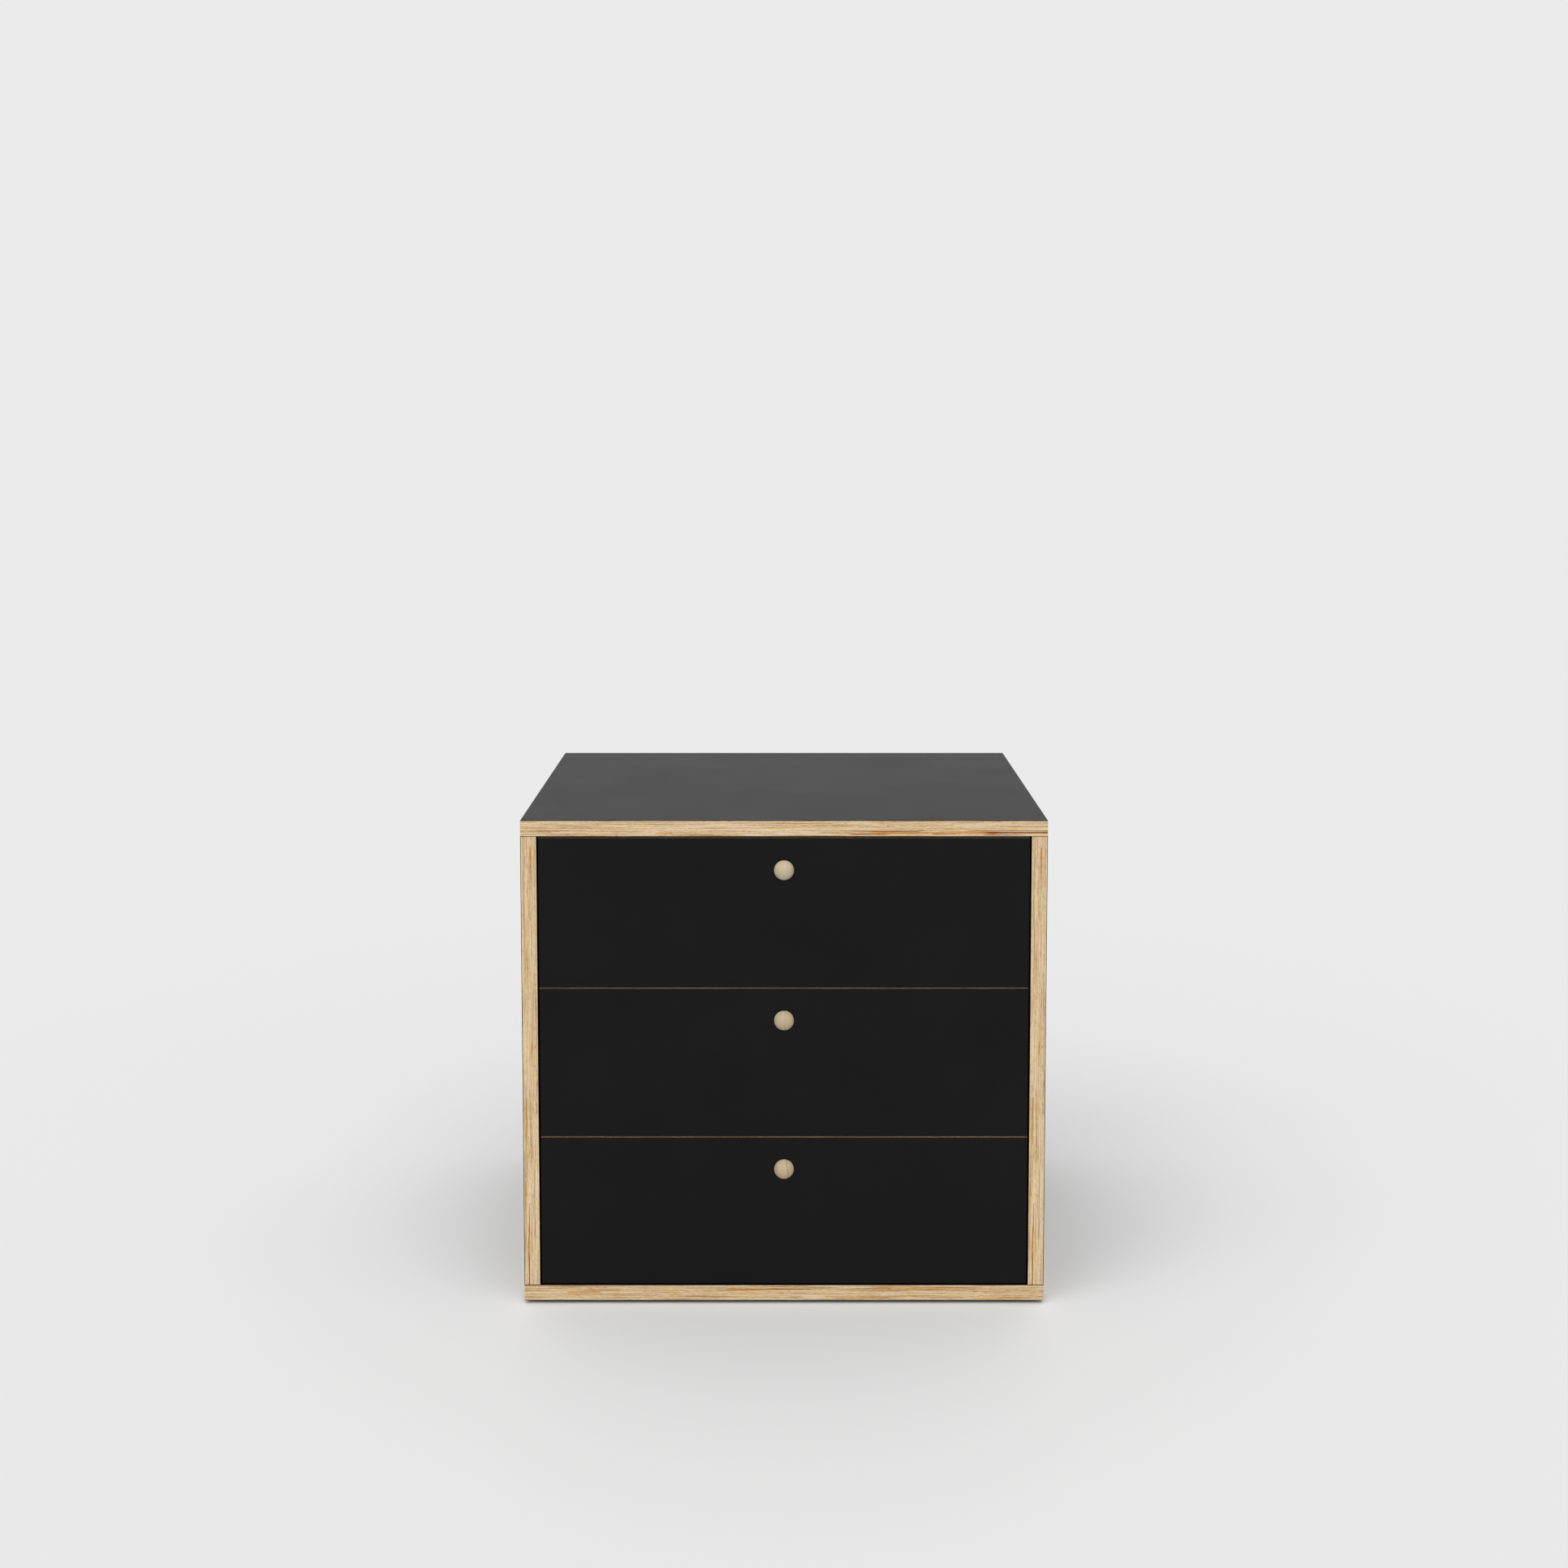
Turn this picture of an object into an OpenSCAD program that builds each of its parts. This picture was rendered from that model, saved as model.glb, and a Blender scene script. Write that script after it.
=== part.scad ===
// Nightstand with three inset drawers on ball-bearing slides.
// Every board is plywood with a laminate skin on each face, and the plywood edges are left bare.
// Millimetres. The origin is on the floor under the middle of the outline, knobs included.
// +Z is up, +X is to the right, and the drawers open towards -Y.

/* [Carcass] */
// Width of the top and bottom boards
body_w = 640; // [500:10:800]
// Height of the carcass, without the floor glides
body_h = 600; // [570:10:720]
// Depth of the top, bottom and side boards
body_d = 450; // [450:10:560]
// Thickness of a carcass board or drawer front, skins included
board_t = 20; // [18:1:22]
// Thickness of one laminate skin
skin_t = 0.8; // [0.5:0.1:0.9]
// Width of the sanded flats along the edges of boards, fronts and drawer walls
ease = 0.4; // [0.2:0.1:0.4]
// Thickness of the back board, skins included
back_t = 12; // [8:1:12]
// Distance from the rear edges to the back board
back_inset = 10; // [6:1:10]
// Depth of the grooves that hold the back board
groove = 8; // [5:1:10]

/* [Floor glides] */
// Height of a glide
glide_h = 4; // [4:0.5:8]
// Diameter of a glide
glide_d = 28; // [20:1:36]
// Distance from the outer faces of the carcass to the middle of a glide
glide_inset = 45; // [30:5:80]

/* [Drawer fronts] */
// Gap around a drawer front
gap = 1.6; // [1.5:0.1:3]
// Diameter of a knob
knob_d = 24; // [20:1:32]
// Height of a knob, from the front to the top of its dome
knob_h = 10; // [8:0.5:11]
// Distance from the top edge of a front to the middle of its knob
knob_drop = 39.5; // [30:0.5:60]

/* [Drawer boxes] */
// Length of a drawer box, from the back of its front
box_l = 400; // [380:5:400]
// Height of the walls
box_h = 150; // [120:5:150]
// Thickness of the walls
wall_t = 12; // [12:1:15]
// Height of the walls' lower edges above the lower edge of the front
box_lift = 14; // [8:1:18]
// Thickness of the drawer bottom
floor_t = 6; // [4:1:8]
// Height of the drawer bottom above the lower edges of the walls
floor_lift = 10; // [8:1:16]

/* [Slides] */
// Space between a side board and a drawer box
slide_t = 12.7; // [12.7:0.1:13]
// Height of a cabinet rail
slide_h = 45; // [44:1:50]
// Length of the rails
slide_l = 400; // [360:10:400]
// Sheet thickness of the rails
gauge = 1.2; // [1:0.1:1.2]
// Diameter of the bearing balls
ball_d = 3; // [2.8:0.1:3]

/* [Hidden] */
$fn = 48;
DRAWERS = ["lower", "middle", "upper"];
CARCASS_NODES = [
  "top_panel", "top_laminate", "bottom_panel", "bottom_laminate",
  "left_panel", "left_laminate", "right_panel", "right_laminate",
  "back_panel", "back_laminate",
  "carcass_dowels", "cam_locks", "cam_bolts",
  "floor_glides", "glide_screws",
  "cabinet_rails", "cabinet_rail_screws"
];
DRAWER_NODES = [
  "front", "front_laminate",
  "box_left", "box_right", "box_front", "box_back", "box_bottom", "box_screws",
  "knob", "knob_screw",
  "drawer_rails", "centre_rails", "outer_cages", "inner_cages"
];

// Colours
birch = [0.83, 0.72, 0.56];
birch_inside = [0.87, 0.78, 0.63];
black = [0.11, 0.11, 0.11];
maple = [0.77, 0.70, 0.58];
beech = [0.78, 0.60, 0.42];
zinc = [0.72, 0.73, 0.75];
screw_steel = [0.60, 0.60, 0.62];
cage_brass = [0.75, 0.66, 0.42];
nylon = [0.16, 0.16, 0.16];

// Carcass: half widths, heights and depths of its faces
x_out = body_w / 2;
x_in = x_out - board_t;
z_low = glide_h;
z_high = glide_h + body_h;
z_in_low = z_low + board_t;
z_in_high = z_high - board_t;
side_h = z_in_high - z_in_low;
z_mid = (z_in_low + z_in_high) / 2;
y_front = (knob_h - body_d) / 2;
y_rear = y_front + body_d;
y_back = y_rear - back_inset - back_t;

// Drawer fronts, counted from the bottom
front_w = 2 * (x_in - gap);
front_h = (side_h - (len(DRAWERS) + 1) * gap) / len(DRAWERS);
function front_z(i) = z_in_low + gap + i * (front_h + gap);
knob_z = front_h - knob_drop;
knob_rim = 1;
knob_dome = knob_h - knob_rim;
knob_dome_r = (pow(knob_d / 2, 2) + pow(knob_dome, 2)) / (2 * knob_dome);

// Drawer boxes. Their corners are finger joints, with the odd fingers on the front and back walls.
box_x = x_in - slide_t;
box_y = y_front + board_t;
floor_groove = wall_t / 2;
fingers = 5;
finger_h = box_h / fingers;

// Slides. Across a slide, u runs from the side board to the box and v up from the slide's middle.
slide_start = 2;
slide_y = box_y + slide_start;
slide_z = box_lift + box_h / 2;
ball_play = 0.2;
race_r = ball_d / 2 + ball_play;
cage_t = 0.6;
cage_play = 0.3;
cage_slot = 1.4;
outer_cage_u = gauge + cage_play;
centre_u = outer_cage_u + cage_t + cage_play;
inner_cage_u = centre_u + gauge + cage_play;
outer_u = centre_u + gauge + race_r + gauge;
inner_u = inner_cage_u + cage_t + cage_play + gauge + race_r;
outer_v = slide_h / 2 - gauge - race_r;
inner_v = outer_v - 2 * race_r - gauge;
cage_l = 0.45 * slide_l;
cage_balls = 7;
rail_holes = [for (share = [0.1, 0.5, 0.9]) share * slide_l];
access_hole_d = 9;

// Fasteners
screw_d = 3.5;
screw_tip = 1.2 * screw_d;
rail_screw_l = wall_t - gauge / 2;
cabinet_screw_l = 16;
front_screw_d = 4;
front_screw_l = wall_t + 14;
front_screw_x = [-0.38, -0.14, 0.14, 0.38];
knob_screw_d = 4;
knob_thread = knob_h - 4;
knob_head_d = 9;
knob_head_h = 2.6;
glide_screw_l = 14;
glide_recess = 1;
cross_w = 0.9;
dowel_d = 8;
dowel_deep = 18;
dowel_high = 12;
dowel_y = [92, body_d / 2 - 6, body_d - 104];
cam_d = 15;
cam_deep = 14;
cam_in = 34;
cam_y = [60, body_d - 72];
bolt_d = 7;
bolt_thread_d = 5;
bolt_high = 11;

// A block from its low corner to its high corner
module block(low, high) {
  translate(low) cube(high - low);
}

// A rectangle with its corners cut off by the sanded flats
module eased_outline(w, h) {
  polygon([
    [ease, 0], [w - ease, 0], [w, ease], [w, h - ease],
    [w - ease, h], [ease, h], [0, h - ease], [0, ease]
  ]);
}

// A block with all its edges sanded
module eased_block(low, high) {
  size = high - low;
  translate(low) intersection() {
    linear_extrude(size.z) eased_outline(size.x, size.y);
    rotate([90, 0, 90]) linear_extrude(size.x) eased_outline(size.y, size.z);
    translate([0, size.y, 0]) rotate([90, 0, 0]) linear_extrude(size.y) eased_outline(size.x, size.z);
  }
}

// Its children, and their mirror image on the other side of the middle
module both_sides() {
  children();
  mirror([1, 0, 0]) children();
}

// Its children at the height of a drawer front's lower edge
module at_drawer(i) {
  translate([0, 0, front_z(i)]) children();
}

// Its children on the left slide of each drawer, with u along +X, length along +Y and v along +Z
module at_left_slide() {
  translate([-x_in, slide_y, slide_z]) children();
}

// Its children at the four joints between a side board and the top or bottom board.
// The local origin is the middle of the side board's end: +Z out of it, +X into the cabinet.
module at_joints(places) {
  for (right = [0, 1], low = [0, 1], y = places)
    mirror([right, 0, 0])
      translate([-x_in - board_t / 2, y_front + y, z_mid])
        mirror([0, 0, low])
          translate([0, 0, side_h / 2])
            children();
}

// Countersunk wood screw without its recess: its head's face is at the origin and it points down
module screw_blank(d, l) {
  translate([0, 0, -d / 2]) cylinder(d1 = d, d2 = 2 * d, h = d / 2);
  translate([0, 0, -l + screw_tip]) cylinder(d = d, h = l - screw_tip - d / 2);
  translate([0, 0, -l]) cylinder(d1 = 0.4, d2 = d, h = screw_tip);
}

// Cross recess in a screw head whose face is at the origin
module cross_recess(d) {
  for (turn = [0, 90])
    rotate([0, 0, turn]) translate([-d / 2, -cross_w / 2, -d / 3]) cube([d, cross_w, d / 2]);
}

module wood_screw(d, l) {
  difference() {
    screw_blank(d, l);
    cross_recess(d);
  }
}

// ---- Carcass fasteners ----

module at_dowels() {
  at_joints(dowel_y) children();
}

module dowel() {
  translate([0, 0, -dowel_deep]) cylinder(d = dowel_d, h = dowel_deep + dowel_high);
}

module carcass_dowels() {
  color(beech) at_dowels() dowel();
}

// Steel bolt screwed into the top or bottom board, with its shank in the side board's end
module cam_bolt() {
  translate([0, 0, -cam_in]) cylinder(d = bolt_d, h = cam_in);
  cylinder(d = bolt_thread_d, h = bolt_high);
}

module cam_bolts() {
  color(zinc) at_joints(cam_y) cam_bolt();
}

// Space of a cam lock, a drum let into the inner face of the side board
module cam_drum() {
  translate([board_t / 2 - cam_deep, 0, -cam_in]) rotate([0, 90, 0]) cylinder(d = cam_d, h = cam_deep);
}

module cam_locks() {
  color(zinc) at_joints(cam_y) difference() {
    cam_drum();
    cam_bolt();
    translate([board_t / 2, 0, -cam_in]) rotate([0, 90, 0]) cross_recess(cam_d / 2);
  }
}

module joint_holes() {
  at_dowels() dowel();
  at_joints(cam_y) cam_bolt();
  at_joints(cam_y) cam_drum();
}

// ---- Carcass boards ----

// A faced board is one solid shape, parted into its plywood core and its laminate skins:
// the first child is the whole board, the second the layer that its core fills, the rest are cut out.

module core_of_board() {
  color(birch) difference() {
    intersection() {
      children(0);
      children(1);
    }
    children(2);
  }
}

module skins_of_board() {
  color(black) difference() {
    children(0);
    children(1);
    children(2);
  }
}

// The back board, widened by its grooves; inset leaves off that much at the front and the rear face
module back_block(inset) {
  block([-x_in - groove, y_back + inset, z_in_low - groove],
        [x_in + groove, y_back + back_t - inset, z_in_high + groove]);
}

module back_panel() {
  color(birch) back_block(skin_t);
}

module back_laminate() {
  color(black) difference() {
    back_block(0);
    back_block(skin_t);
  }
}

// The top or bottom board, with its lower face at height z
module flat_board(z) {
  eased_block([-x_out, y_front, z], [x_out, y_rear, z + board_t]);
}

module flat_layer(z) {
  block([-body_w, y_front - 1, z + skin_t], [body_w, y_rear + 1, z + board_t - skin_t]);
}

module flat_board_cuts() {
  joint_holes();
  back_block(0);
  at_glides() glide_screw_blank();
}

module board_core(z) {
  core_of_board() {
    flat_board(z);
    flat_layer(z);
    flat_board_cuts();
  }
}

module board_laminate(z) {
  skins_of_board() {
    flat_board(z);
    flat_layer(z);
    flat_board_cuts();
  }
}

// The left side board. Its lower end is sanded too, and its upper end is square under the top board.
module side_board() {
  intersection() {
    eased_block([-x_out, y_front, z_in_low], [-x_in, y_rear, z_high]);
    block([-body_w, y_front - 1, z_low], [0, y_rear + 1, z_in_high]);
  }
}

module side_layer() {
  block([-x_out + skin_t, y_front - 1, z_low], [-x_in - skin_t, y_rear + 1, z_high]);
}

module side_board_cuts() {
  joint_holes();
  back_block(0);
  left_rail_screws() screw_blank(screw_d, cabinet_screw_l);
}

module left_panel() {
  core_of_board() {
    side_board();
    side_layer();
    side_board_cuts();
  }
}

module left_laminate() {
  skins_of_board() {
    side_board();
    side_layer();
    side_board_cuts();
  }
}

// ---- Floor glides ----

module at_glides() {
  for (x = [-x_out + glide_inset, x_out - glide_inset],
       y = [y_front + glide_inset, y_rear - glide_inset])
    translate([x, y, 0]) children();
}

module glide_screw_blank() {
  translate([0, 0, glide_recess]) rotate([180, 0, 0]) screw_blank(screw_d, glide_screw_l);
}

module floor_glides() {
  color(nylon) at_glides() difference() {
    cylinder(d = glide_d, h = glide_h);
    glide_screw_blank();
    translate([0, 0, -1]) cylinder(d = 2 * screw_d + 0.6, h = glide_recess + 1);
  }
}

module glide_screws() {
  color(screw_steel) at_glides()
    translate([0, 0, glide_recess]) rotate([180, 0, 0]) wood_screw(screw_d, glide_screw_l);
}

// ---- Slides ----

// A profile drawn in u and v, run along the length of a slide
module along(l) {
  translate([0, l, 0]) rotate([90, 0, 0]) linear_extrude(l) children();
}

module both_rows() {
  children();
  mirror([0, 1]) children();
}

// Rolled ball race: an arc of sheet above (side = 1) or below (side = -1) a row of balls
module race(u, v, side) {
  reach = race_r + gauge;
  translate([u, v]) intersection() {
    difference() {
      circle(r = reach);
      circle(r = race_r);
    }
    translate([-reach, side > 0 ? cage_slot / 2 : -reach]) square([2 * reach, reach - cage_slot / 2]);
  }
}

module web(u, half) {
  translate([u, -half]) square([gauge, 2 * half]);
}

module cabinet_profile() {
  web(0, outer_v + race_r + gauge);
  both_rows() {
    translate([0, outer_v + race_r]) square([outer_u, gauge]);
    race(outer_u, outer_v, 1);
  }
}

module centre_profile() {
  web(centre_u, outer_v - race_r);
  both_rows() {
    translate([centre_u, inner_v + race_r]) square([inner_u - centre_u, gauge]);
    race(outer_u, outer_v, -1);
    race(inner_u, inner_v, 1);
  }
}

module drawer_profile() {
  web(slide_t - gauge, inner_v - race_r);
  both_rows() {
    translate([inner_u, inner_v - race_r - gauge]) square([slide_t - inner_u, gauge]);
    race(inner_u, inner_v, -1);
  }
}

// Screws of the left cabinet rails, at every drawer
module left_rail_screws() {
  for (i = [0 : len(DRAWERS) - 1], w = rail_holes)
    at_drawer(i) at_left_slide() translate([gauge, w, 0]) rotate([0, 90, 0]) children();
}

module cabinet_rails() {
  color(zinc) both_sides() difference() {
    for (i = [0 : len(DRAWERS) - 1])
      at_drawer(i) at_left_slide() along(slide_l) cabinet_profile();
    left_rail_screws() screw_blank(screw_d, cabinet_screw_l);
  }
}

module cabinet_rail_screws() {
  color(screw_steel) both_sides() left_rail_screws() wood_screw(screw_d, cabinet_screw_l);
}

// Holes across the middle of a slide, in the direction of u
module at_access_holes() {
  for (w = rail_holes)
    translate([0, w, 0]) rotate([0, 90, 0]) children();
}

module centre_rails() {
  color(zinc) both_sides() at_left_slide() difference() {
    along(slide_l) centre_profile();
    at_access_holes() cylinder(d = access_hole_d, h = slide_t);
  }
}

// Screws of the left drawer rail, from its web into the box wall
module left_drawer_screws() {
  at_left_slide()
    for (w = rail_holes)
      translate([slide_t - gauge, w, 0]) rotate([0, -90, 0]) children();
}

module drawer_rails() {
  color(zinc) both_sides() difference() {
    at_left_slide() along(slide_l) drawer_profile();
    left_drawer_screws() screw_blank(screw_d, rail_screw_l);
  }
}

// Ball cage: a bent strip with a row of balls along each edge
module cage(u, ball_u, ball_v) {
  translate([0, (slide_l - cage_l) / 2, 0]) {
    along(cage_l) {
      translate([u, -ball_v]) square([cage_t, 2 * ball_v]);
      both_rows() translate([u, ball_v - cage_t / 2]) square([ball_u - u, cage_t]);
    }
    for (k = [0 : cage_balls - 1], side = [-1, 1])
      translate([ball_u, (k + 0.5) * cage_l / cage_balls, side * ball_v]) sphere(d = ball_d);
  }
}

module outer_cages() {
  color(cage_brass) both_sides() at_left_slide() cage(outer_cage_u, outer_u, outer_v);
}

module inner_cages() {
  color(cage_brass) both_sides() at_left_slide() cage(inner_cage_u, inner_u, inner_v);
}

// ---- Drawers, drawn from the lower edge of their front ----

module front_board() {
  eased_block([-front_w / 2, y_front, 0], [front_w / 2, box_y, front_h]);
}

module front_layer() {
  block([-x_in, y_front + skin_t, -1], [x_in, box_y - skin_t, front_h + 1]);
}

module front_cuts() {
  at_front_screws() screw_blank(front_screw_d, front_screw_l);
  knob_screw_blank();
}

// Screws from inside the box into the front
module at_front_screws() {
  for (share = front_screw_x, z = [box_lift + finger_h, box_lift + box_h - finger_h])
    translate([share * 2 * box_x, box_y + wall_t, z]) rotate([-90, 0, 0]) children();
}

module knob_screw_blank() {
  translate([0, box_y + wall_t, knob_z]) rotate([-90, 0, 0]) {
    translate([0, 0, -wall_t - board_t - knob_thread])
      cylinder(d = knob_screw_d, h = wall_t + board_t + knob_thread);
    cylinder(d = knob_head_d, h = knob_head_h);
  }
}

module front() {
  core_of_board() {
    front_board();
    front_layer();
    front_cuts();
  }
}

module front_laminate() {
  skins_of_board() {
    front_board();
    front_layer();
    front_cuts();
  }
}

// Outline of half a knob: a low dome on a narrow rim, drilled for its screw
module knob_outline() {
  difference() {
    union() {
      square([knob_d / 2, knob_rim]);
      intersection() {
        translate([0, knob_h - knob_dome_r]) circle(r = knob_dome_r);
        translate([0, knob_rim]) square([knob_d / 2, knob_dome]);
      }
    }
    square([knob_screw_d / 2, knob_thread]);
  }
}

module knob() {
  color(maple) translate([0, y_front, knob_z]) rotate([90, 0, 0]) rotate_extrude() knob_outline();
}

module knob_screw() {
  color(screw_steel) difference() {
    knob_screw_blank();
    translate([0, box_y + wall_t + knob_head_h, knob_z]) rotate([-90, 0, 0]) cross_recess(knob_screw_d);
  }
}

module box_bottom() {
  color(birch_inside)
    block([-box_x + floor_groove, box_y + floor_groove, box_lift + floor_lift],
          [box_x - floor_groove, box_y + box_l - floor_groove, box_lift + floor_lift + floor_t]);
}

// The fingers at all four corners that belong to the side walls (first = 0) or to the others (1)
module corner_fingers(first) {
  for (k = [first : 2 : fingers - 1], x = [-box_x, box_x - wall_t], y = [box_y, box_y + box_l - wall_t])
    translate([x, y, box_lift + k * finger_h]) cube([wall_t, wall_t, finger_h]);
}

module box_left() {
  color(birch_inside) difference() {
    eased_block([-box_x, box_y, box_lift], [-box_x + wall_t, box_y + box_l, box_lift + box_h]);
    corner_fingers(1);
    box_bottom();
    left_drawer_screws() screw_blank(screw_d, rail_screw_l);
  }
}

module cross_wall(y) {
  difference() {
    eased_block([-box_x, y, box_lift], [box_x, y + wall_t, box_lift + box_h]);
    corner_fingers(0);
    box_bottom();
  }
}

module box_front() {
  color(birch_inside) difference() {
    cross_wall(box_y);
    front_cuts();
  }
}

module box_back() {
  color(birch_inside) cross_wall(box_y + box_l - wall_t);
}

module box_screws() {
  color(screw_steel) {
    both_sides() left_drawer_screws() wood_screw(screw_d, rail_screw_l);
    at_front_screws() wood_screw(front_screw_d, front_screw_l);
  }
}

board_core(z_in_high);  // top_panel
board_laminate(z_in_high);  // top_laminate
board_core(z_low);  // bottom_panel
board_laminate(z_low);  // bottom_laminate
left_panel();
left_laminate();
mirror([1, 0, 0]) left_panel();  // right_panel
mirror([1, 0, 0]) left_laminate();  // right_laminate
back_panel();
back_laminate();
carcass_dowels();
cam_locks();
cam_bolts();
floor_glides();
glide_screws();
cabinet_rails();
cabinet_rail_screws();
for (i = [0 : len(DRAWERS) - 1]) at_drawer(i) {
  front();
  front_laminate();
  box_left();
  mirror([1, 0, 0]) box_left();
  box_front();
  box_back();
  box_bottom();
  box_screws();
  knob();
  knob_screw();
  drawer_rails();
  centre_rails();
  outer_cages();
  inner_cages();
}
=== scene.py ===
"""Nightstand with three drawers: materials, floor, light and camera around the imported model.

The scene is in metres, in the model's own frame: +Z is up and the drawers open towards -Y. Inside the
materials, lengths are in millimetres.
"""

import math

import bpy
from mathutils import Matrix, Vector


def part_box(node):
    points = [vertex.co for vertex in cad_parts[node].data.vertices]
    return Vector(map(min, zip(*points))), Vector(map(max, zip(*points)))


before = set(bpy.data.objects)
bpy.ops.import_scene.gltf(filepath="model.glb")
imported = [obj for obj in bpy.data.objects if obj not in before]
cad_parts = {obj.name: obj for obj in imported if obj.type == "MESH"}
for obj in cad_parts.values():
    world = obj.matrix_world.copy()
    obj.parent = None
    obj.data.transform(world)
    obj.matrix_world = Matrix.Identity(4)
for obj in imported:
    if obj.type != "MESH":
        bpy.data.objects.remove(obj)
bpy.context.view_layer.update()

DRAWERS = ("lower", "middle", "upper")
X, Y, Z = 0, 1, 2
MM = 0.001

# Camera: how far it stands ahead of the boards' front edges and above the floor, how far it looks down, its
# lens and its sensor's width in millimetres, and how far its view is shifted, as a share of that width
CAMERA_AHEAD = 2.135
CAMERA_HEIGHT = 1.079
CAMERA_TILT = math.radians(3.89)
CAMERA_LENS = 40.98
CAMERA_SENSOR = 36.0
CAMERA_SHIFT = -0.15

# Backdrop, and a wide floor with a painted pool of light round the cabinet, where its grey is paler: the
# painted light fades between two distances from the cabinet's middle, in millimetres
BACKDROP_GLOW = 0.83
FLOOR_HALF = 40.0
FLOOR_GREY = 0.7
PAINTED_LIGHT_GREY = 0.733
PAINTED_LIGHT_NEAR = 350.0
PAINTED_LIGHT_FAR = 1300.0

# Soft lights: azimuth, elevation and apparent width in degrees, then strength. Azimuth 0 is in front of the
# drawers and -90 to their left.
SOFTBOXES = {
    "front_softbox": (0.0, 60.0, 60.0, 1.03),
    "left_softbox": (-53.0, 45.0, 30.0, 0.32),
}

# Turned wood: its light and dark wood, the spacing of its dark lines, the place of one of them across the
# piece, and how far the lines lean across per millimetre up
KNOB_WOODS = {
    "lower": ((0.515, 0.415, 0.272), (0.31, 0.20, 0.10), 13.5, 4.4, 0.12),
    "middle": ((0.50, 0.40, 0.26), (0.405, 0.30, 0.175), 16.0, 1.3, 0.0),
    "upper": ((0.515, 0.43, 0.30), (0.47, 0.38, 0.255), 16.0, -7.0, -0.1),
}
DOWEL_WOOD = ((0.60, 0.40, 0.24), (0.42, 0.24, 0.12), 5.0, 0.0, 0.0)

# How far a piece's noise is moved for each unit of its seed, so that pieces differ
PLYWOOD_STEP = (37.0, 53.0, 71.0)
TURNED_STEP = (43.0, 61.0, 31.0)

# Plywood: thickness of one ply and of the glue between two plies, how strongly the glue shows where it is
# faint and where it is dark, and the size and strength of the pores in end grain
PLY = 1.5
GLUE = 0.12
GLUE_FAINT = 0.05
GLUE_DARK = 0.4
PORE = 0.5
PORE_STRENGTH = 0.3

# Bare wood: how much it shines, and the depth of its relief
WOOD_SHINE = 0.35
PLYWOOD_RELIEF = 0.05
TURNED_RELIEF = 0.03

# Plywood's streaks, drawn out along the board: their length and height, then the detail and roughness of the
# noise
STREAKS = {
    "bands": (160.0, 1.6, 1.0, 0.6),
    "lines": (60.0, 0.62, 2.0, 0.6),
    "fibres": (8.0, 0.42, 4.0, 0.68),
    "flecks": (6.0, 0.4, 1.0, 0.6),
    "stains": (48.0, 0.6, 2.0, 0.6),
    "warmth": (30.0, 1.3, 2.0, 0.6),
    "patches": (40.0, 3.5, 3.0, 0.6),
}

# What makes a spot light or dark: a little its ply's own tone, and otherwise these streaks. Their sum picks
# from the wood's four tones, which lie at these stops.
PLY_SHARE = 0.03
STREAK_SHARES = {"bands": 0.26, "lines": 0.42, "fibres": 0.32}
TONE_STOPS = (0.436, 0.472, 0.506, 0.552)

# Woods: their tones from dark to light, how wide the streaks are across the board in times their height, and
# how strong their changes of hue and their dark flecks are
EDGE_TONES = ((0.30, 0.15, 0.045), (0.52, 0.34, 0.155), (0.66, 0.478, 0.26), (0.80, 0.64, 0.42))
# The bottom board's wood is a darker copy of the edge wood: painted shade for its lower place
SHADED_EDGE_TONES = ((0.29, 0.14, 0.040), (0.50, 0.32, 0.132), (0.64, 0.455, 0.237), (0.78, 0.61, 0.38))
BOX_TONES = ((0.55, 0.39, 0.22), (0.65, 0.50, 0.32), (0.71, 0.57, 0.385), (0.76, 0.63, 0.45))
EDGE_WOOD = (EDGE_TONES, 16.0, 0.4, 0.75)
SHADED_EDGE_WOOD = (SHADED_EDGE_TONES, 16.0, 0.4, 0.75)
BOX_WOOD = (BOX_TONES, 2.0, 0.16, 0.3)
GREYISH = (0.60, 0.455, 0.325)
YELLOWISH = (0.68, 0.48, 0.21)
GLUE_LINE = (0.30, 0.105, 0.035)

# Stains in the order in which they are laid on: the colour, the streaks they follow, the value from which
# they show, their strength, and whether they cover the wood or darken it
WHITISH = (0.80, 0.66, 0.50)
ORANGE = (0.90, 0.58, 0.19)
RED_BROWN = (0.44, 0.20, 0.07)
STAINS = (
    (WHITISH, "patches", 0.68, 0.5, "MIX"),
    (ORANGE, "stains", 0.66, 1.0, "MULTIPLY"),
    (RED_BROWN, "stains", 0.68, 1.0, "MULTIPLY"),
)
STAIN_SOFTNESS = 0.12

# Marks are places at a board's front edge where more of it is stained. Each is its place across the board and
# its start and end along the board, as shares of it, then its height in millimetres and its strength.
TOP_MARKS = {
    RED_BROWN: (
        (0.32, 0.58, 0.79, 0.9, 0.42),
        (0.12, 0.61, 0.72, 1.2, 0.38),
        (0.14, 0.77, 0.84, 1.2, 0.35),
        (0.35, 0.82, 1.10, 0.7, 0.46),
        (0.22, 0.85, 1.10, 1.7, 0.42),
        (0.08, 0.87, 0.97, 0.7, 0.39),
        (0.34, 0.01, 0.14, 0.5, 0.34),
        (0.57, 0.055, 0.10, 0.5, 0.34),
    ),
    ORANGE: (
        (0.84, 0.47, 0.61, 0.6, 0.39),
        (0.86, 0.63, 0.82, 0.9, 0.31),
        (0.17, 0.25, 0.295, 0.9, 0.45),
        (0.20, 0.58, 1.00, 2.8, 0.25),
        (0.06, 0.04, 0.09, 0.8, 0.35),
    ),
    WHITISH: (
        (0.18, 0.47, 0.58, 3.0, 0.32),
        (0.24, 0.05, 0.11, 1.4, 0.28),
    ),
}
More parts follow.
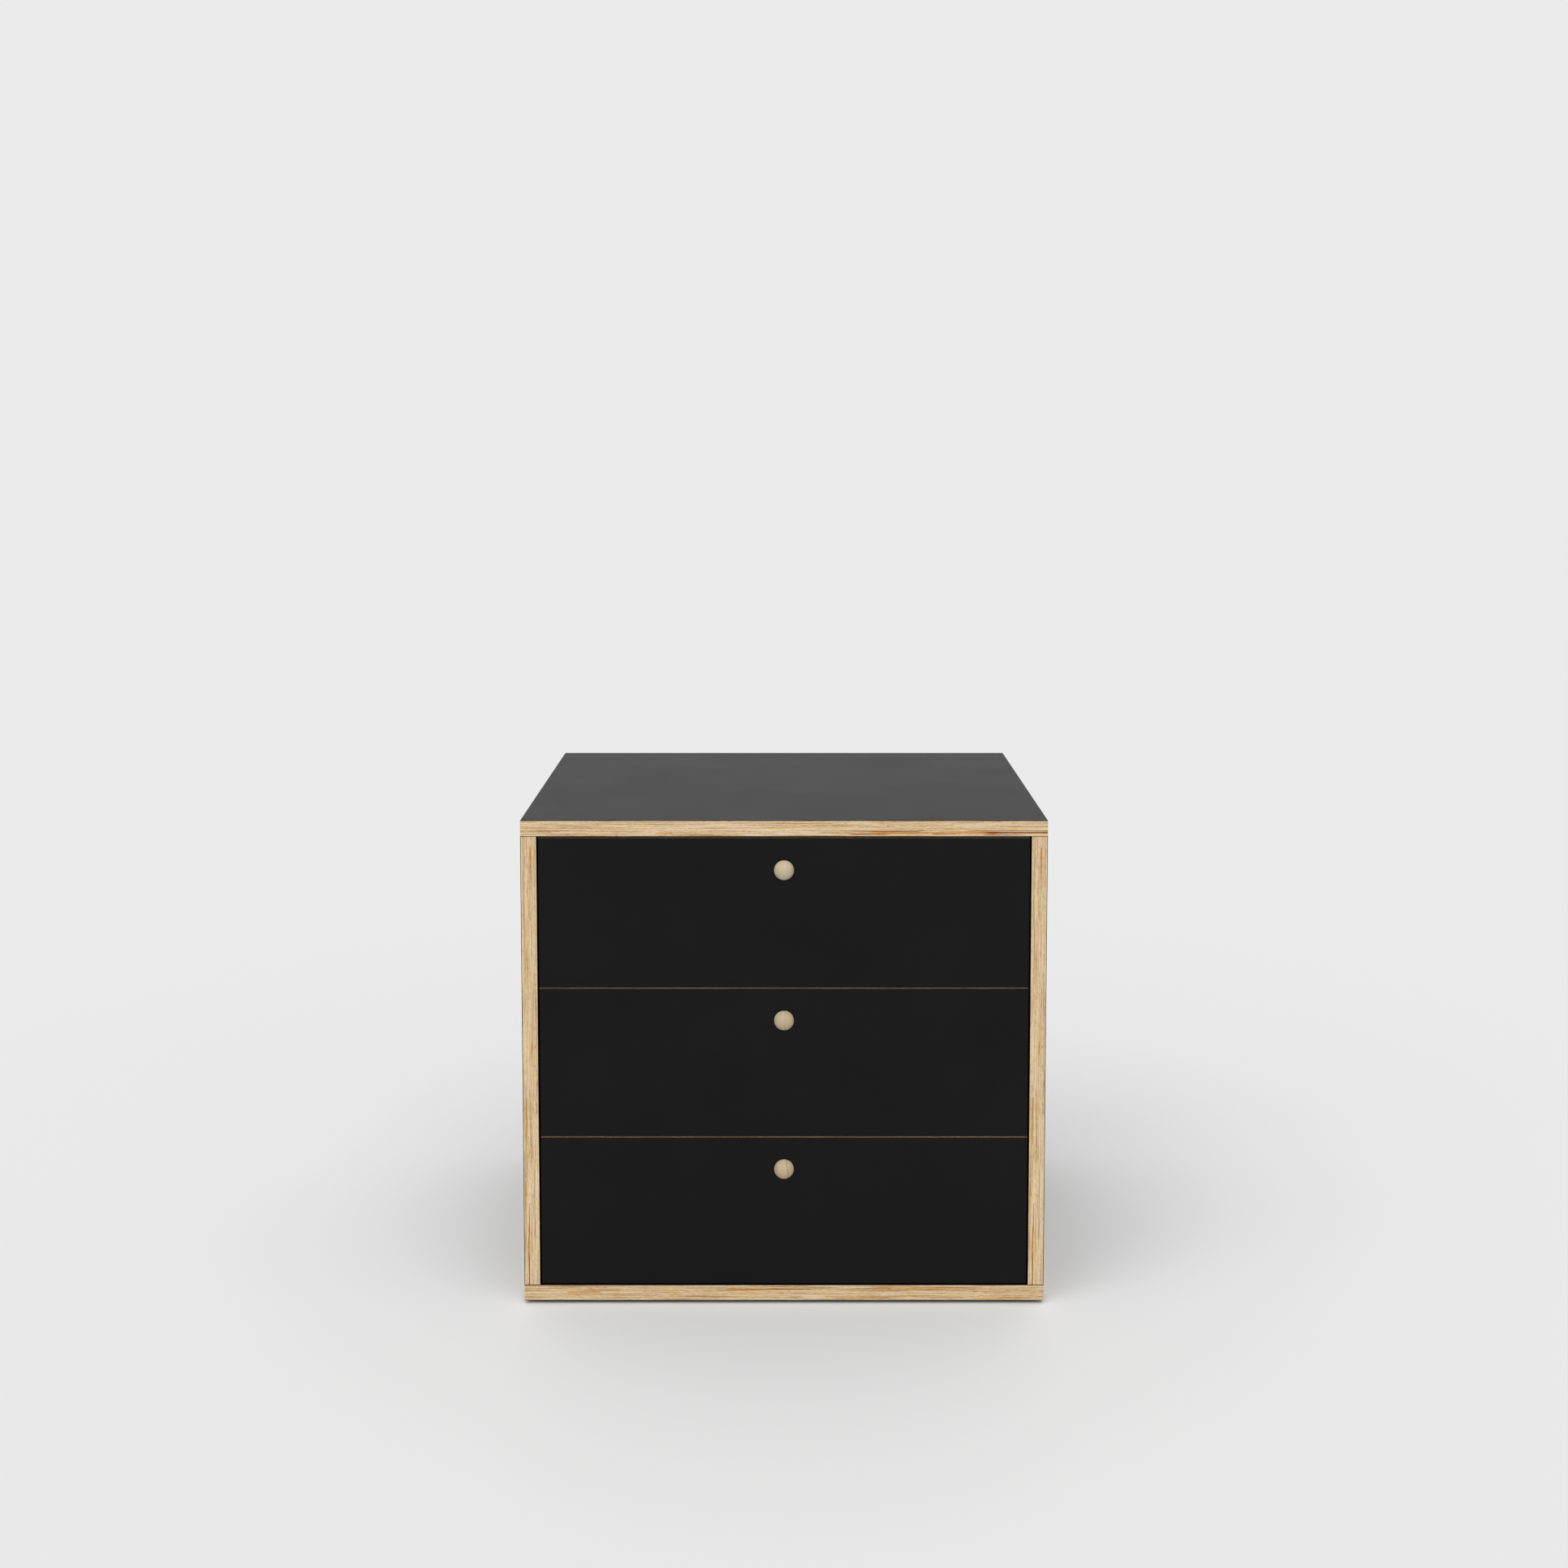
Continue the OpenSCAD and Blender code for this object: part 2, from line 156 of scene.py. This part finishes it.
BOTTOM_MARKS = {
    RED_BROWN: (
        (0.66, 0.10, 0.20, 0.6, 0.36),
        (0.36, 0.275, 0.31, 0.5, 0.45),
        (0.76, 0.45, 0.57, 0.8, 0.36),
        (0.80, 0.62, 0.72, 0.6, 0.36),
        (0.70, 0.82, 0.88, 0.6, 0.31),
    ),
    ORANGE: (
        (0.54, 0.07, 0.16, 1.4, 0.36),
        (0.72, 0.36, 0.52, 1.8, 0.34),
        (0.84, 0.62, 0.90, 1.8, 0.31),
        (0.10, 0.58, 0.72, 0.8, 0.39),
        (0.10, 0.85, 0.99, 0.8, 0.42),
    ),
    WHITISH: (
        (0.20, 0.47, 0.60, 3.4, 0.28),
    ),
}
SIDE_MARKS = {
    RED_BROWN: (
        (0.31, -0.10, 0.085, 0.7, 0.52),
        (0.22, 0.02, 0.11, 0.5, 0.34),
        (0.90, 0.38, 0.42, 0.8, 0.34),
        (0.33, 0.10, 0.20, 0.5, 0.28),
    ),
    ORANGE: (
        (0.63, 0.945, 0.98, 1.3, 0.59),
        (0.64, 0.90, 0.96, 0.7, 0.50),
        (0.31, -0.05, 0.16, 1.1, 0.35),
        (0.08, 0.14, 0.25, 0.9, 0.39),
        (0.60, 0.515, 0.545, 1.0, 0.39),
        (0.22, 0.30, 0.44, 1.4, 0.25),
    ),
    WHITISH: (
        (0.52, 0.42, 0.50, 3.6, 0.26),
        (0.55, 0.20, 0.32, 1.6, 0.24),
    ),
}
# How far behind the front edge the marks begin to fade and are gone
MARK_NEAR = 40.0
MARK_FAR = 170.0


class Shader:
    """One material and short ways to add nodes to it. A value is a number, a colour or a node's output."""

    def __init__(self, name):
        self.material = bpy.data.materials.new(name)
        self.material.use_nodes = True
        self.tree = self.material.node_tree
        self.surface = self.tree.nodes["Principled BSDF"]

    def feed(self, socket, value):
        """Link a socket to a node's output, or set it to a number, a colour or a vector."""
        if isinstance(value, bpy.types.NodeSocket):
            self.tree.links.new(value, socket)
        elif isinstance(value, tuple) and len(value) == 3 and socket.type == "RGBA":
            socket.default_value = (*value, 1.0)
        else:
            socket.default_value = value

    def node(self, kind, inputs, **settings):
        """A new node of a kind, with values for its inputs and its settings."""
        made = self.tree.nodes.new("ShaderNode" + kind)
        for key, value in settings.items():
            setattr(made, key, value)
        for key, value in inputs.items():
            self.feed(made.inputs[key], value)
        return made

    def math(self, operation, *values):
        return self.node("Math", dict(enumerate(values)), operation=operation).outputs[0]

    def vector(self, operation, *values):
        return self.node("VectorMath", dict(enumerate(values)), operation=operation).outputs[0]

    def place(self, corner=(0.0, 0.0, 0.0)):
        """The point on the surface, in millimetres from a corner."""
        point = self.node("TexCoord", {}).outputs["Object"]
        moved = self.vector("SUBTRACT", point, tuple(corner))
        return self.vector("MULTIPLY", moved, (1 / MM, 1 / MM, 1 / MM))

    def moved(self, point, step, seed):
        """The point moved on by a step for each unit of the seed."""
        return self.vector("ADD", point, tuple(seed * one for one in step))

    def split(self, point):
        return self.node("SeparateXYZ", {0: point}).outputs

    def noise(self, point, size, detail=2.0, roughness=0.5):
        """Noise around 0.5, with patches of the given size in millimetres along each axis."""
        scaled = self.vector("DIVIDE", point, size)
        inputs = {"Vector": scaled, "Scale": 1.0, "Detail": detail, "Roughness": roughness}
        return self.node("TexNoise", inputs).outputs[0]

    def between(self, value, low, high, to_low=0.0, to_high=1.0, smooth=False):
        """value's place between low and high, as a number from to_low to to_high."""
        inputs = {0: value, 1: low, 2: high, 3: to_low, 4: to_high}
        kind = "SMOOTHSTEP" if smooth else "LINEAR"
        return self.node("MapRange", inputs, interpolation_type=kind).outputs[0]

    def vary(self, noise, low=0.0, high=1.0):
        """A number that goes from low to high over the values that most of a noise has."""
        return self.between(noise, 0.3, 0.7, low, high)

    def mix(self, share, first, second, blend="MIX"):
        """The second colour laid over the first. A Mix node for colours has them at its inputs 6 and 7."""
        inputs = {0: share, 6: first, 7: second}
        return self.node("Mix", inputs, data_type="RGBA", blend_type=blend).outputs[2]

    def ramp(self, value, stops):
        """A colour that passes through the stops, each a place and a colour, as value grows."""
        made = self.node("ValToRGB", {0: value})
        points = made.color_ramp.elements
        while len(points) < len(stops):
            points.new(1.0)
        for point, (place, colour) in zip(points, stops):
            point.position = place
            point.color = (*colour, 1.0)
        return made.outputs[0]

    def constant(self, name, value):
        """Give the surface a value that is the same all over it."""
        self.surface.inputs[name].default_value = value

    def cover(self, colour, roughness, height, depth):
        """Give the surface its colour, roughness, and a relief of the given depth in millimetres."""
        relief = self.node("Bump", {"Height": height, "Distance": depth * MM}).outputs[0]
        self.feed(self.surface.inputs["Base Color"], colour)
        self.feed(self.surface.inputs["Roughness"], roughness)
        self.feed(self.surface.inputs["Normal"], relief)


def drawn_out_noises(paint, point, along, stack, spread):
    """The noises of STREAKS for a board whose plies run along one axis and are stacked along another."""
    made = {}
    for name, (length, height, detail, roughness) in STREAKS.items():
        size = [spread * height] * 3
        size[along], size[stack] = length, height
        made[name] = paint.noise(point, tuple(size), detail, roughness)
    return made


def plies(paint, point, depth, wave, seed):
    """Slightly wavy plies, stacked by depth: each ply's own tone, the glue between them, and open pores.

    The pores are in every other ply, which has its grain across the board.
    """
    level = paint.math("DIVIDE", paint.math("ADD", depth, wave), PLY)
    number = paint.math("FLOOR", level)
    chance = paint.node("TexWhiteNoise", {"W": paint.math("ADD", number, seed)}, noise_dimensions="1D")
    from_middle = paint.math("ABSOLUTE", paint.math("SUBTRACT", paint.math("FRACT", level), 0.5))
    glue = paint.between(from_middle, 0.5 - GLUE / PLY, 0.5 - 0.4 * GLUE / PLY)
    crosswise = paint.math("MODULO", paint.math("ABSOLUTE", number), 2.0)
    holes = paint.between(paint.noise(point, (PORE, PORE, PORE), detail=1.0), 0.56, 0.7)
    pores = paint.math("MULTIPLY", holes, paint.math("MULTIPLY", crosswise, PORE_STRENGTH))
    return chance.outputs["Value"], glue, pores


def wood_colour(paint, streaks, own, tones, mottle):
    """The wood's tones, with patches that are greyer or yellower."""
    amount = paint.math("MULTIPLY", own, PLY_SHARE)
    for name, share in STREAK_SHARES.items():
        amount = paint.math("MULTIPLY_ADD", streaks[name], share, amount)
    colour = paint.ramp(amount, tuple(zip(TONE_STOPS, tones)))
    colour = paint.mix(paint.between(streaks["warmth"], 0.5, 0.62, 0.0, mottle), colour, GREYISH)
    return paint.mix(paint.between(streaks["warmth"], 0.5, 0.4, 0.0, 0.9 * mottle), colour, YELLOWISH)


def mark(paint, across, along, thickness, length, share, start, end, height, strength):
    """What a mark adds to the stains at a point of a board: most in the mark's middle."""
    away = paint.math("ABSOLUTE", paint.math("SUBTRACT", across, share * thickness))
    core = paint.between(away, 0.3 * height, height, strength, 0.0, smooth=True)
    half = (end - start) / 2 * length
    beyond = paint.math("ABSOLUTE", paint.math("SUBTRACT", along, start * length + half))
    return paint.math("MULTIPLY", core, paint.between(beyond, 0.5 * half, half, 1.0, 0.0, smooth=True))


def plywood(node, along, stack, wood, marks=None, seed=0.0):
    """Plywood for a board whose plies run along one axis and are stacked along another."""
    tones, spread, mottle, fleck = wood
    low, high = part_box(node)
    size = (high - low) / MM
    paint = Shader("ply_" + node)
    point = paint.place(low)
    place = paint.split(point)
    offset = paint.moved(point, PLYWOOD_STEP, seed)
    streaks = drawn_out_noises(paint, offset, along, stack, spread)
    own, glue, pores = plies(paint, offset, place[stack], streaks["bands"], seed)

    colour = wood_colour(paint, streaks, own, tones, mottle)
    darkness = paint.between(streaks["stains"], 0.4, 0.62, GLUE_FAINT, GLUE_DARK)
    colour = paint.mix(paint.math("MULTIPLY", glue, darkness), colour, GLUE_LINE)
    colour = paint.mix(pores, colour, tones[0])
    flecks = paint.between(streaks["flecks"], 0.62, 0.7)
    colour = paint.mix(paint.math("MULTIPLY", flecks, fleck), colour, tones[0])

    close = paint.between(place[Y], MARK_NEAR, MARK_FAR, 1.0, 0.0, smooth=True)
    for stain, name, edge, strength, blend in STAINS:
        field = streaks[name]
        for one in (marks or {}).get(stain, ()):
            added = mark(paint, place[stack], place[along], size[stack], size[along], *one)
            field = paint.math("MULTIPLY_ADD", added, close, field)
        amount = paint.between(field, edge, edge + STAIN_SOFTNESS, 0.0, strength)
        colour = paint.mix(amount, colour, stain, blend)

    raised = paint.math("ADD", streaks["fibres"], streaks["lines"])
    relief = paint.math("SUBTRACT", raised, paint.math("ADD", pores, glue))
    paint.cover(colour, paint.vary(streaks["fibres"], 0.5, 0.68), relief, PLYWOOD_RELIEF)
    paint.constant("Specular IOR Level", WOOD_SHINE)
    return paint.material


def turned_wood(node, light, dark, ring, line, lean, seed):
    """Wood with its grain along Z: a dark line every ring millimetres across the piece, and fine fibres.

    One dark line is at line from the piece's middle, and all of them move across by lean per millimetre up.
    """
    low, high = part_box(node)
    paint = Shader("wood_" + node)
    point = paint.place((low + high) / 2)
    place = paint.split(point)
    offset = paint.moved(point, TURNED_STEP, seed)
    wobble = 2.4
    wave = paint.noise(offset, (8.0, 8.0, 22.0), detail=2.0)
    leaning = paint.math("MULTIPLY_ADD", place[Z], lean, place[X])
    across = paint.math("MULTIPLY_ADD", wave, wobble, leaning)
    from_line = paint.math("SUBTRACT", across, line + wobble / 2 - ring / 2)
    turns = paint.math("FRACT", paint.math("DIVIDE", from_line, ring))
    away = paint.math("ABSOLUTE", paint.math("SUBTRACT", turns, 0.5))
    late = paint.between(away, 0.02, 0.11, 1.0, 0.0, smooth=True)
    fibres = paint.noise(offset, (0.5, 0.5, 9.0), detail=3.0, roughness=0.6)
    flecks = paint.between(paint.noise(offset, (0.45, 0.45, 3.0), detail=1.0), 0.62, 0.74)
    amount = paint.math("MULTIPLY_ADD", late, 0.4, paint.between(fibres, 0.35, 0.75, 0.0, 0.4))
    colour = paint.mix(amount, light, dark)
    colour = paint.mix(paint.math("MULTIPLY", flecks, 0.3), colour, dark)
    paint.cover(colour, paint.vary(fibres, 0.5, 0.64), fibres, TURNED_RELIEF)
    paint.constant("Specular IOR Level", WOOD_SHINE)
    return paint.material


def black_laminate():
    """Matt black laminate: a faint pebbled texture, and a finish a little uneven from handling."""
    paint = Shader("matt_black_laminate")
    point = paint.place()
    pebbles = paint.noise(point, (0.35, 0.35, 0.35), detail=2.0)
    clouds = paint.noise(point, (90.0, 90.0, 90.0), detail=3.0)
    colour = paint.mix(paint.vary(clouds), (0.0016, 0.0016, 0.0017), (0.0026, 0.0025, 0.0024))
    paint.cover(colour, paint.vary(clouds, 0.43, 0.46), pebbles, 0.004)
    paint.constant("IOR", 1.25)
    return paint.material


def zinc_steel():
    """Rolled and zinc-plated steel: faint lines from the rollers along Y, and cloudy plating."""
    paint = Shader("plated_steel")
    point = paint.place()
    clouds = paint.noise(point, (7.0, 14.0, 7.0), detail=4.0, roughness=0.6)
    rolling = paint.noise(point, (0.12, 30.0, 0.12), detail=2.0)
    colour = paint.mix(clouds, (0.50, 0.51, 0.54), (0.72, 0.73, 0.74))
    paint.cover(colour, paint.vary(clouds, 0.3, 0.46), rolling, 0.004)
    paint.constant("Metallic", 1.0)
    return paint.material


def screw_steel():
    """Cold-formed screws with a passivated finish."""
    paint = Shader("passivated_steel")
    point = paint.place()
    clouds = paint.noise(point, (1.2, 1.2, 1.2), detail=3.0)
    grit = paint.noise(point, (0.1, 0.1, 0.1), detail=1.0)
    colour = paint.mix(clouds, (0.42, 0.42, 0.43), (0.62, 0.61, 0.60))
    paint.cover(colour, paint.vary(clouds, 0.28, 0.42), grit, 0.006)
    paint.constant("Metallic", 1.0)
    return paint.material


def ball_cage():
    """Thin brass-coloured strip and bearing balls, with a film of grease."""
    paint = Shader("greased_brass")
    film = paint.noise(paint.place(), (3.0, 9.0, 3.0), detail=3.0)
    colour = paint.mix(film, (0.50, 0.40, 0.20), (0.66, 0.58, 0.38))
    paint.cover(colour, paint.vary(film, 0.22, 0.4), film, 0.01)
    paint.constant("Metallic", 1.0)
    return paint.material


def glide_nylon():
    """Moulded black nylon, scuffed grey where it rubs on the floor."""
    paint = Shader("black_nylon")
    point = paint.place()
    grain = paint.noise(point, (0.2, 0.2, 0.2), detail=2.0)
    scuffs = paint.noise(point, (0.5, 6.0, 0.8), detail=3.0)
    low_down = paint.between(paint.split(point)[Z], 0.1, 1.0, 1.0, 0.0)
    worn = paint.math("MULTIPLY", low_down, paint.between(scuffs, 0.45, 0.65, 0.0, 0.6))
    colour = paint.mix(worn, (0.018, 0.018, 0.019), (0.10, 0.10, 0.10))
    paint.cover(colour, paint.vary(grain, 0.5, 0.62), grain, 0.02)
    return paint.material


def floor_paint():
    """Matt pale paint, with a painted pool of light round the cabinet, where it is a shade paler."""
    paint = Shader("floor_paint")
    distance = paint.node("VectorMath", {0: paint.place()}, operation="LENGTH").outputs["Value"]
    # Painted light: the floor's grey is paler near the cabinet and fades to the plain grey further out
    painted_light_fade = paint.between(distance, PAINTED_LIGHT_NEAR, PAINTED_LIGHT_FAR, smooth=True)
    colour = paint.mix(painted_light_fade, (PAINTED_LIGHT_GREY,) * 3, (FLOOR_GREY,) * 3)
    paint.feed(paint.surface.inputs["Base Color"], colour)
    paint.constant("Roughness", 1.0)
    paint.constant("Specular IOR Level", 0.0)
    return paint.material


def dress(node, material):
    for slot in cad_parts[node].material_slots:
        slot.material = material


def dress_boards():
    """The cores of the cabinet's boards. All but the back board show their front edges."""
    dress("top_panel", plywood("top_panel", X, Z, EDGE_WOOD, TOP_MARKS, 1.0))
    # The bottom board gets the darker copy of the edge wood, which is painted shade
    dress("bottom_panel", plywood("bottom_panel", X, Z, SHADED_EDGE_WOOD, BOTTOM_MARKS, 2.0))
    for side in ("left_panel", "right_panel"):
        dress(side, plywood(side, Z, X, EDGE_WOOD, SIDE_MARKS, 3.0))
    dress("back_panel", plywood("back_panel", X, Y, EDGE_WOOD, seed=4.0))


def dress_drawer(name, number):
    """One drawer's front, box and knob. Its number gives it seeds of its own."""
    dress(name + "_front", plywood(name + "_front", X, Y, EDGE_WOOD, seed=5.0 + number))
    for wall in ("_box_left", "_box_right"):
        dress(name + wall, plywood(name + wall, Y, X, BOX_WOOD, seed=8.0 + number))
    for wall in ("_box_front", "_box_back"):
        dress(name + wall, plywood(name + wall, X, Y, BOX_WOOD, seed=11.0 + number))
    dress(name + "_box_bottom", plywood(name + "_box_bottom", X, Z, BOX_WOOD, seed=14.0 + number))
    dress(name + "_knob", turned_wood(name + "_knob", *KNOB_WOODS[name], seed=1.0 + number))


def dress_the_rest():
    """Every piece whose material doesn't depend on its own box, by its slot in the record, and the dowels."""
    made = {
        "black_laminate": black_laminate(),
        "zinc_steel": zinc_steel(),
        "screw_steel": screw_steel(),
        "ball_cage": ball_cage(),
        "glide_nylon": glide_nylon(),
    }
    for name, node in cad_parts.items():
        slot = node.material_slots[0].material.name.split(".")[0]
        if slot in made:
            dress(name, made[slot])
    dress("carcass_dowels", turned_wood("carcass_dowels", *DOWEL_WOOD, seed=5.0))


def make_floor():
    mesh = bpy.data.meshes.new("floor")
    corners = [(x * FLOOR_HALF, y * FLOOR_HALF, 0.0) for x, y in ((-1, -1), (1, -1), (1, 1), (-1, 1))]
    mesh.from_pydata(corners, [], [(0, 1, 2, 3)])
    mesh.materials.append(floor_paint())
    floor = bpy.data.objects.new("floor", mesh)
    bpy.context.scene.collection.objects.link(floor)


def make_backdrop():
    world = bpy.data.worlds.new("studio")
    world.use_nodes = True
    glow = world.node_tree.nodes["Background"]
    glow.inputs["Color"].default_value = (1.0, 1.0, 1.0, 1.0)
    glow.inputs["Strength"].default_value = BACKDROP_GLOW
    bpy.context.scene.world = world


def make_softbox(name, azimuth, elevation, width, strength):
    """A soft light from far away, so it is the same everywhere in the scene."""
    light = bpy.data.lights.new(name, "SUN")
    light.angle = math.radians(width)
    light.energy = strength
    lamp = bpy.data.objects.new(name, light)
    bpy.context.scene.collection.objects.link(lamp)
    turn, rise = math.radians(azimuth), math.radians(elevation)
    towards = Vector((math.sin(turn) * math.cos(rise), -math.cos(turn) * math.cos(rise), math.sin(rise)))
    lamp.rotation_euler = towards.to_track_quat("Z", "Y").to_euler()


def make_camera():
    data = bpy.data.cameras.new("camera")
    data.lens = CAMERA_LENS
    data.sensor_width = CAMERA_SENSOR
    data.shift_y = CAMERA_SHIFT
    data.clip_end = 3 * FLOOR_HALF
    camera = bpy.data.objects.new("camera", data)
    bpy.context.scene.collection.objects.link(camera)
    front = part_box("top_panel")[0].y
    camera.location = (0.0, front - CAMERA_AHEAD, CAMERA_HEIGHT)
    camera.rotation_euler = (math.pi / 2 - CAMERA_TILT, 0.0, 0.0)
    bpy.context.scene.camera = camera


bpy.context.scene.view_settings.view_transform = "Standard"
make_camera()
make_backdrop()
make_floor()
for softbox, settings in SOFTBOXES.items():
    make_softbox(softbox, *settings)
dress_boards()
for number, drawer in enumerate(DRAWERS):
    dress_drawer(drawer, number)
dress_the_rest()
